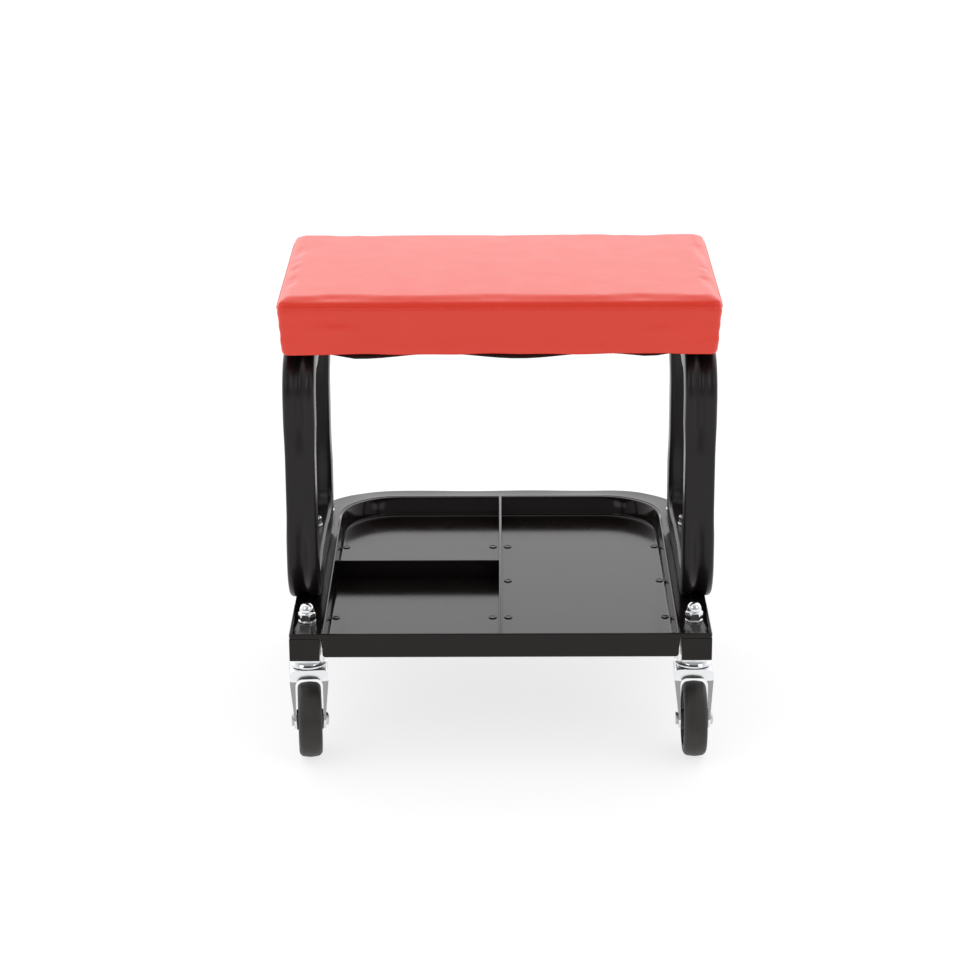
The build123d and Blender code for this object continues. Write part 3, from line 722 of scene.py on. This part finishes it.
# ---- hoops -------------------------------------------------------------------------
@dataclass
class Hoop:
    """Closed hoop of square tube, crimped where it was bent."""

    paints: Paintbox
    side: str
    tube: float = 25.0 * MM
    bend: float = 40.0 * MM
    corner: float = 3.2 * MM
    groove: float = 4.6 * MM
    groove_width: float = 5.0 * MM
    bulge: float = 1.3 * MM
    pinch: float = 2.0 * MM
    edge_drop: float = 0.7 * MM
    crimp_past_bend: float = 50.0 * MM

    def centre_line(self) -> tuple[np.ndarray, np.ndarray, np.ndarray]:
        """Middle of the tube round the hoop, in the YZ plane.

        Each corner is an arc about its own centre, and each run is evenly divided.

        Returns:
            Points, outward directions and how strongly each place is crimped.
        """
        low, high = (np.array(c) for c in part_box(self.side + "_hoop"))
        radius = self.bend - self.tube / 2
        middle = (low + high) / 2
        reach = (high - low)[1:] / 2 - self.bend
        turn = np.arange(4)[:, None] * QUARTER + np.linspace(0, QUARTER, 25)
        ray = np.stack([np.cos(turn), np.sin(turn)], -1)
        centre = np.array([[1, 1], [-1, 1], [-1, -1], [1, -1]])[:, None] * reach
        arcs = centre + radius * ray
        share = np.linspace(0, 1, 41)[1:-1, None]
        after = np.roll(arcs[:, 0], -1, axis=0)
        runs = arcs[:, -1][:, None] * (1 - share) + after[:, None] * share
        run_rays = np.repeat(ray[:, -1][:, None], len(share), axis=1)
        points = np.concatenate([arcs, runs], axis=1).reshape(-1, 2)
        rays = np.concatenate([ray, run_rays], axis=1).reshape(-1, 2)
        off_bend = np.clip(reach - np.abs(points), 0.0, None)
        on_run = np.abs(rays[:, ::-1]) > 0.99
        past = (off_bend * on_run).sum(axis=1)
        crimp = 1 - smooth_step(past, 0.35 * self.crimp_past_bend, self.crimp_past_bend)
        return points + middle[1:], rays, crimp

    def grid(self) -> np.ndarray:
        """Surface of the tube: a rounded square carried round the centre line.

        A section point has a outward and b sideways. Where the tube is crimped, its outer
        face sinks by groove * exp(-(b / width)^2), its inner face by pinch likewise, and
        its sides bulge by bulge * (1 - (a / half)^2).

        Returns:
            Grid of rows round the hoop by columns round the tube.
        """
        points, rays, crimp = self.centre_line()
        low, high = (np.array(c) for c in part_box(self.side + "_hoop"))
        half = self.tube / 2
        section = rounded_outline(half, -half, half, self.corner, self.corner, 5, 14)
        side, out = section[None, :, 0], section[None, :, 1]
        crimp = crimp[:, None]
        outer = smooth_step(out, half * 0.2, half)
        inner = smooth_step(-out, half * 0.2, half)
        dip = np.exp(-((side / self.groove_width) ** 2))
        shoulder = 1 - (np.abs(side) / half) ** 3
        out = out - crimp * outer * (self.groove * dip + self.edge_drop * (1 - shoulder))
        wide_dip = np.exp(-((side / (1.6 * self.groove_width)) ** 2))
        out = out + crimp * inner * self.pinch * wide_dip
        swell = self.bulge * (1 - (section[None, :, 1] / half) ** 2)
        side = side + crimp * np.sign(side) * swell
        x = (low[0] + high[0]) / 2 + side
        y = points[:, :1] + rays[:, :1] * out
        z = points[:, 1:] + rays[:, 1:] * out
        return np.stack(np.broadcast_arrays(x, y, z), -1)

    def build(self) -> None:
        """Make the hoop."""
        piece = skin(self.side + "_hoop_tube", [self.grid()], ring=True, sharp_degrees=60.0)
        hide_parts(self.side + "_hoop")
        self.paints.dress(piece, Slot.PAINT)


# ---- base --------------------------------------------------------------------------
class Face(Enum):
    """What a row of the tray's skin lies on."""

    PLAIN = "plain"
    BEAD = "bead"
    LEDGE = "ledge"
    LIP = "lip"


@dataclass(frozen=True)
class Station:
    """One row of the tray's skin: a rounded outline at one height."""

    half: float
    front: float
    back: float
    height: float
    face: Face = Face.PLAIN
    wide: bool = False


@dataclass
class Tray:
    """Moulded tool tray: shell, dividers and the discs on its floor."""

    paints: Paintbox
    wall: float = 2.0 * MM
    rail_top: float = 109.0 * MM
    tub_half: float = 148.5 * MM
    floor_round: float = 3.2 * MM
    foot_round: float = 2.5 * MM
    tub_front_round: float = 1.8 * MM
    flange_front_round: float = 2.4 * MM
    basin_corner: float = 52.0 * MM
    flange_corner: float = 75.0 * MM
    back_rim: float = 18.0 * MM
    rim_wave: float = 0.3 * MM
    lip_end: float = 100.0 * MM
    divider: float = 2.6 * MM
    divider_round: float = 0.9 * MM
    cross_y: float = 8.0 * MM
    disc_radius: float = 3.5 * MM
    disc_rise: float = 0.8 * MM
    disc_pitch: float = 88.0 * MM

    def __post_init__(self) -> None:
        """Take the tray's place from the frame."""
        low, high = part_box("tool_tray")
        self.low, self.high = np.array(low), np.array(high)
        self.floor = self.low[2] + self.wall
        self.rim = self.high[2]
        self.ledge = self.rail_top + self.wall

    def basin(self) -> list[Station]:
        """Rows from the middle of the floor up the basin's wall.

        Returns:
            The rows, in order.
        """
        front, back = self.low[1], self.high[1] - self.back_rim
        half = self.tub_half - self.wall
        rows = [Station(half - 12.0 * MM, front + 15.0 * MM, back - 16.0 * MM, self.floor)]
        for turn in np.linspace(0, QUARTER, 6):
            out = self.floor_round * (1 - math.sin(turn))
            up = self.floor_round * (1 - math.cos(turn))
            rows.append(Station(half - 1.0 * MM - out, front + 3.0 * MM + out,
                                back - 4.0 * MM - out, self.floor + up))
        return rows

    def bead(self) -> list[Station]:
        """Rows over the bead round the basin and down to the ledge behind it.

        Returns:
            The rows, in order.
        """
        half, top = self.tub_half - self.wall, self.rim
        front, back = self.low[1], self.high[1] - self.back_rim
        steps = (
            (0.0, 2.2, -0.6, top - 0.6 * MM, Face.BEAD),
            (0.15, 2.1, -0.2, top - 0.2 * MM, Face.BEAD),
            (0.5, 2.0, 0.2, top, Face.BEAD),
            (1.5, 1.9, 1.2, top, Face.BEAD),
            (1.85, 1.8, 1.6, top - 0.2 * MM, Face.BEAD),
            (2.0, 1.75, 2.0, top - 0.5 * MM, Face.BEAD),
            (2.4, 1.7, 2.6, self.ledge + 0.1 * MM, Face.LEDGE),
            (3.0, 1.65, 3.4, self.ledge, Face.LEDGE),
        )
        return [Station(half + out * MM, front + ahead * MM, back + behind * MM, height, face)
                for out, ahead, behind, height, face in steps]

    def lip(self) -> list[Station]:
        """Rows over the flange's outer lip and down to the rails.

        Returns:
            The rows, in order.
        """
        out, front, rear, top = self.high[0], self.low[1], self.high[1], self.rim
        steps = (
            (2.4, 1.6, 2.4, self.ledge, Face.LEDGE),
            (2.0, 1.5, 2.0, self.ledge + 0.2 * MM, Face.LIP),
            (1.8, 1.3, 1.7, top - 0.3 * MM, Face.LIP),
            (1.5, 1.1, 1.3, top, Face.LIP),
            (0.5, 0.5, 0.6, top, Face.LIP),
            (0.1, 0.1, 0.2, top - 0.3 * MM, Face.LIP),
            (0.0, 0.0, 0.0, top - 0.6 * MM, Face.LIP),
            (0.0, 0.0, 0.0, self.rail_top + 0.2 * MM, Face.PLAIN),
            (0.3, 0.05, 0.3, self.rail_top, Face.PLAIN),
        )
        return [Station(out - side * MM, front + ahead * MM, rear - behind * MM, height, face,
                        wide=True)
                for side, ahead, behind, height, face in steps]

    def underside(self) -> list[Station]:
        """Rows down the tub's outside, round its foot and in under the floor.

        Returns:
            The rows, in order.
        """
        half, under = self.tub_half, self.low[2]
        front, back = self.low[1], self.high[1] - self.back_rim
        rows = [
            Station(half + 0.3 * MM, front + 0.1 * MM, back + self.wall, self.rail_top),
            Station(half, front + 0.1 * MM, back + self.wall, self.rail_top - 0.6 * MM),
        ]
        for turn in np.linspace(0, QUARTER, 6):
            out = self.foot_round * (1 - math.cos(turn))
            up = self.foot_round * (1 - math.sin(turn))
            rows.append(Station(half - 1.0 * MM - out, front + 0.8 * MM + out,
                                back - 2.0 * MM - out, under + up))
        rows.append(Station(half - 14.0 * MM, front + 15.0 * MM, back - 16.0 * MM, under))
        return rows

    def row(self, station: Station) -> np.ndarray:
        """Points of one row.

        The bead dies away behind the back corners, the outer lip stands only in front of
        the hoops, and the back rim waves by rim_wave.

        Args:
            station: The row's outline, height and face.

        Returns:
            Points, one row each.
        """
        radii = ((self.flange_front_round, self.flange_corner) if station.wide
                 else (self.tub_front_round, self.basin_corner))
        outline = rounded_outline(station.half, station.front, station.back, *radii)
        z = np.full(len(outline), station.height)
        x, y = outline.T
        if station.face is Face.BEAD:
            z = z - smooth_step(y, 0.108, 0.132) * (self.rim - self.ledge)
        if station.face is Face.LEDGE:
            inside = 1 - smooth_step(
                np.abs(x), self.tub_half - 0.4 * MM, self.tub_half + 0.5 * MM)
            at_front = 1 - smooth_step(y, self.low[1] + 1.9 * MM, self.low[1] + 2.6 * MM)
            z = z + (self.rim - z) * inside * at_front
        if station.face is Face.LIP:
            stands = 1 - smooth_step(y, -self.lip_end - 3 * MM, -self.lip_end + 3 * MM)
            z = self.ledge + (z - self.ledge) * stands
        if station.face is not Face.PLAIN:
            z = z + self.rim_wave * np.sin(x / (17 * MM)) * smooth_step(y, 0.182, 0.19)
        return np.stack([x, y, z], -1)

    def shell(self) -> bpy.types.Object:
        """The tray's skin, closed over its floor and its underside.

        Returns:
            The dressed piece.
        """
        stations = self.basin() + self.bead() + self.lip() + self.underside()
        rows = np.stack([self.row(station) for station in stations])
        piece = skin("tray_shell", [rows], sharp_degrees=50.0)
        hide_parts("tool_tray")
        return self.paints.dress(piece, Slot.PLASTIC)

    def dividers(self) -> bpy.types.Object:
        """The long divider and the cross divider, as two thin round-edged walls.

        Returns:
            The dressed piece.
        """
        half = self.divider / 2
        back = self.high[1] - self.back_rim
        tall = self.rim - 1.0 * MM
        low = self.floor - 0.5 * MM
        spine = rounded_box((-half, self.low[1] + 1.0 * MM, low), (half, back + 0.5 * MM, tall),
                            self.divider_round)
        cross = rounded_box(
            (-self.tub_half + 0.8 * MM, self.cross_y - half, low),
            (half * 0.5, self.cross_y + half, tall - 1.5 * MM), self.divider_round)
        return self.paints.dress(skin("tray_dividers", [spine, cross]), Slot.PLASTIC)

    def discs(self) -> bpy.types.Object:
        """Low round discs moulded on the tray's floor.

        Returns:
            The dressed piece.
        """
        edge, rise = self.disc_radius, self.disc_rise
        disc = turned([(edge, -0.5 * MM), (edge, 0.5 * MM), (edge - 0.3 * MM, rise),
                       (edge - 1.0 * MM, rise), (edge - 1.3 * MM, 0.5 * MM)], steps=28)
        outer = self.tub_half - self.wall - 5.5 * MM
        inner = 6.7 * MM
        grids = []
        for row in (-1, 0, 1):
            for x in (-outer, -inner, inner, outer):
                if row or x > 0:
                    grids.append(disc + np.array([x, row * self.disc_pitch, self.floor]))
        return self.paints.dress(skin("tray_floor_discs", grids), Slot.PLASTIC)

    def build(self) -> None:
        """Make the whole tray."""
        self.shell()
        self.dividers()
        self.discs()


@dataclass
class Rails:
    """The two side rails with their end plugs and everything bolted through them."""

    paints: Paintbox
    corner: float = 2.0 * MM
    plug: float = 2.0 * MM
    plug_round: float = 0.8 * MM
    stem_x: float = 162.0 * MM
    stem_y: float = 140.0 * MM
    nut_flats: float = 13.0 * MM
    nut_hex: float = 7.0 * MM
    nut_dome: float = 6.0 * MM
    nut_turns: tuple[float, ...] = (0.35, -0.2, 0.6, 0.1)

    def build(self) -> None:
        """Make the rails, the plugs and the fasteners."""
        plugs = []
        for side in ("left", "right"):
            low, high = (np.array(c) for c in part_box(side + "_rail"))
            piece = skin(side + "_rail_tube", [rounded_box(low, high, self.corner)])
            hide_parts(side + "_rail")
            self.paints.dress(piece, Slot.PAINT)
            for face in (low[1] - self.plug, high[1]):
                plugs.append(rounded_box((low[0], face, low[2]),
                                         (high[0], face + self.plug, high[2]), self.plug_round))
        ends = skin("rail_end_plugs", plugs)
        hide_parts("rail_plugs")
        self.paints.dress(ends, Slot.PLASTIC)
        self.cap_nuts()
        for name in ("foot_bolts", "foot_nuts", "foot_washers"):
            self.paints.dress(softened(name, 0.3), Slot.ZINC)
        self.paints.dress(softened("stem_washers", 0.2), Slot.PLATE)

    def cap_nuts(self) -> None:
        """Domed nuts: a chamfered hexagon, a neck and a half round cap."""
        low, high = (np.array(c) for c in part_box("cap_nuts"))
        tall = high[2] - low[2]
        hexagon, shoulder, dome = self.nut_flats / math.sqrt(3), self.nut_hex, self.nut_dome
        cap = [(dome * math.cos(a), tall - dome * (1 - math.sin(a)))
               for a in np.linspace(0, QUARTER - 0.02, 12)]
        profile = [(0.1 * MM, 0), (hexagon - 1.2 * MM, 0), (hexagon - 0.3 * MM, 0.5 * MM),
                   (hexagon, 1.1 * MM), (hexagon, shoulder - 1.1 * MM),
                   (hexagon - 0.4 * MM, shoulder - 0.5 * MM), (hexagon - 1.2 * MM, shoulder),
                   (dome + 0.1 * MM, shoulder + 0.2 * MM)] + cap
        nut = turned(profile, flats=self.nut_flats)
        stems = [(x, y) for x in (-self.stem_x, self.stem_x) for y in (-self.stem_y, self.stem_y)]
        grids = [placed(nut, Matrix.Translation((x, y, low[2])) @ Matrix.Rotation(turn, 4, "Z"))
                 for (x, y), turn in zip(stems, self.nut_turns)]
        piece = skin("cap_nuts_domed", grids, sharp_degrees=50.0)
        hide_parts("cap_nuts")
        self.paints.dress(piece, Slot.PLATE)


# ---- casters -----------------------------------------------------------------------
@dataclass
class Caster:
    """One swivel caster: fork, axle and wheel."""

    paints: Paintbox
    name: str
    tread: float = 19.5 * MM
    shoulder: float = 4.8 * MM
    rim: float = 22.75 * MM
    tread_crown: float = 0.5 * MM
    mould_line: float = 0.15 * MM

    def axle(self) -> Matrix:
        """Place of the wheel: its middle, with +Z along the axle.

        Returns:
            The placement.
        """
        roll = next(j for j in frame["joints"] if j["name"] == self.name + "_roll")
        low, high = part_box(self.name + "_tyre")
        middle = (Vector(low) + Vector(high)) / 2
        along = Vector(roll["axis"]).normalized()
        return Matrix.Translation(middle) @ along.to_track_quat("Z", "Y").to_matrix().to_4x4()

    def tyre(self) -> bpy.types.Object:
        """Solid tyre: round shoulders, a slightly crowned tread and a fine mould line.

        Height across the tread is radius - mould_line - tread_crown * w^2, w running from
        -1 to 1, plus mould_line in a narrow ridge at w = 0.

        Returns:
            The dressed piece.
        """
        low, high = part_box(self.name + "_tyre")
        radius = (high[2] - low[2]) / 2
        half = self.tread / 2
        flat = half - self.shoulder
        turn = np.linspace(0, QUARTER, 9)
        across = np.linspace(-1, 1, 15)
        ridge = self.mould_line * np.exp(-((across / 0.06) ** 2))
        rise = radius - self.mould_line - self.tread_crown * across**2 + ridge
        arc_r = radius - self.mould_line - self.tread_crown - self.shoulder * (1 - np.cos(turn))
        arc_w = flat + self.shoulder * np.sin(turn)
        inner = [(self.rim, -half), (self.rim + 2 * MM, -half),
                 (self.rim + 2.4 * MM, -half + 0.35 * MM), (self.rim + 2.8 * MM, -half)]
        rows = inner + list(zip(arc_r[::-1], -arc_w[::-1])) + list(zip(rise, across * flat))
        rows += list(zip(arc_r, arc_w)) + [(r, -w) for r, w in inner[::-1]]
        grid = placed(turned(rows, steps=120), self.axle())
        piece = skin(self.name + "_tread", [grid], ring=True, sharp_degrees=50.0)
        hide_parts(self.name + "_tyre")
        return self.paints.dress(piece, Slot.TYRE, self.name + "_wheel")

    def build(self) -> None:
        """Make the caster."""
        self.tyre()
        wheel, swivel = self.name + "_wheel", self.name + "_swivel"
        self.paints.dress(softened(self.name + "_wheel_core", 0.4), Slot.WHEEL, wheel)
        self.paints.dress(softened(self.name + "_fork", 0.5), Slot.PLATE, swivel)
        for part in ("_axle_bolt", "_axle_nut"):
            self.paints.dress(softened(self.name + part, 0.25), Slot.ZINC, swivel)
        self.paints.dress_node(self.name + "_axle_sleeve", Slot.ZINC)


# ---- stage -------------------------------------------------------------------------
@dataclass
class Stage:
    """Pale floor, soft lights and the camera.

    The floor shines a little by itself, which keeps the shadow pale. The sky's strength
    runs from sky_front to sky_back.
    """

    focal_mm: float = 105.38
    sensor_mm: float = 36.0
    eye: tuple[float, float, float] = (0.0011, -2.3315, 0.9783)
    pitch_degrees: float = 18.722
    yaw_degrees: float = 0.459
    roll_degrees: float = -0.333
    floor_size: float = 12.0
    floor_grey: float = 0.30
    floor_glow: float = 0.74
    sky_front: float = 0.4
    sky_back: float = 1.55

    def camera(self) -> None:
        """Set up the camera."""
        data = bpy.data.cameras.new("view")
        data.lens = self.focal_mm
        data.sensor_width = self.sensor_mm
        camera = bpy.data.objects.new("view", data)
        turn = Matrix.Rotation(math.radians(self.yaw_degrees), 4, "Z")
        tilt = Matrix.Rotation(math.radians(90 - self.pitch_degrees), 4, "X")
        roll = Matrix.Rotation(math.radians(self.roll_degrees), 4, "Z")
        camera.matrix_world = Matrix.Translation(self.eye) @ turn @ tilt @ roll
        bpy.context.scene.collection.objects.link(camera)
        bpy.context.scene.camera = camera

    def lamp(self, name: str, place: Sequence[float], size: float, power: float) -> None:
        """Square soft light aimed at the seat.

        Args:
            name: The lamp's name.
            place: Where it hangs.
            size: Side of its square.
            power: Watts.
        """
        data = bpy.data.lights.new(name, "AREA")
        data.size = size
        data.energy = power
        lamp = bpy.data.objects.new(name, data)
        aim = (Vector((0, 0, 0.2)) - Vector(place)).to_track_quat("-Z", "Y")
        lamp.matrix_world = Matrix.Translation(place) @ aim.to_matrix().to_4x4()
        bpy.context.scene.collection.objects.link(lamp)

    def floor(self) -> None:
        """Wide plain floor in one pale tone."""
        mesh = bpy.data.meshes.new("floor")
        size = self.floor_size
        corners = [(-size, -size, 0), (size, -size, 0), (size, size, 0), (-size, size, 0)]
        mesh.from_pydata(corners, [], [(0, 1, 2, 3)])
        floor = bpy.data.objects.new("floor", mesh)
        material = bpy.data.materials.new("floor_paint")
        material.use_nodes = True
        shader = material.node_tree.nodes["Principled BSDF"]
        shader.inputs["Base Color"].default_value = (*[self.floor_grey] * 3, 1)
        shader.inputs["Emission Color"].default_value = (1.0, 1.0, 1.0, 1)
        shader.inputs["Emission Strength"].default_value = self.floor_glow
        shader.inputs["Roughness"].default_value = 0.7
        shader.inputs["Specular IOR Level"].default_value = 0.1
        mesh.materials.append(material)
        bpy.context.scene.collection.objects.link(floor)

    def world(self) -> None:
        """Soft sky that is brighter behind the seat than in front of it."""
        world = bpy.data.worlds.new("sky")
        bpy.context.scene.world = world
        world.use_nodes = True
        tree = world.node_tree
        place = tree.nodes.new("ShaderNodeTexCoord")
        split = tree.nodes.new("ShaderNodeSeparateXYZ")
        ramp = tree.nodes.new("ShaderNodeMapRange")
        ramp.inputs["From Min"].default_value = -0.7
        ramp.inputs["From Max"].default_value = 0.6
        ramp.inputs["To Min"].default_value = self.sky_front
        ramp.inputs["To Max"].default_value = self.sky_back
        tree.nodes["Background"].inputs["Color"].default_value = (1.0, 1.0, 1.0, 1.0)
        tree.links.new(place.outputs["Generated"], split.inputs["Vector"])
        tree.links.new(split.outputs["Y"], ramp.inputs["Value"])
        tree.links.new(ramp.outputs["Result"], tree.nodes["Background"].inputs["Strength"])

    def build(self) -> None:
        """Make the stage."""
        scene = bpy.context.scene
        scene.view_settings.view_transform = "Standard"
        self.camera()
        self.floor()
        self.world()
        self.lamp("overhead", (0.0, 0.4, 2.4), 2.2, 2.0)
        self.lamp("front_left", (-1.6, -1.8, 1.7), 1.2, 7.5)
        self.lamp("front_right", (1.7, -1.6, 1.5), 1.2, 5.5)


def main() -> None:
    """Build every sub-assembly in order."""
    logging.basicConfig(level=logging.INFO, format="%(name)s: %(message)s")
    Stage().build()
    paints = Paintbox()
    for side in ("left", "right"):
        Hoop(paints, side).build()
    Seat(paints).build()
    Tray(paints).build()
    Rails(paints).build()
    for name in CASTERS:
        Caster(paints, name).build()
    for name, slot in (("caster_stems", Slot.ZINC), ("bearing_caps", Slot.PLATE),
                       ("stem_retainers", Slot.ZINC)):
        paints.dress(softened(name, 0.3), slot)
    paints.dress_node("swivel_balls", Slot.PLATE)


if __name__ == "__main__":
    main()
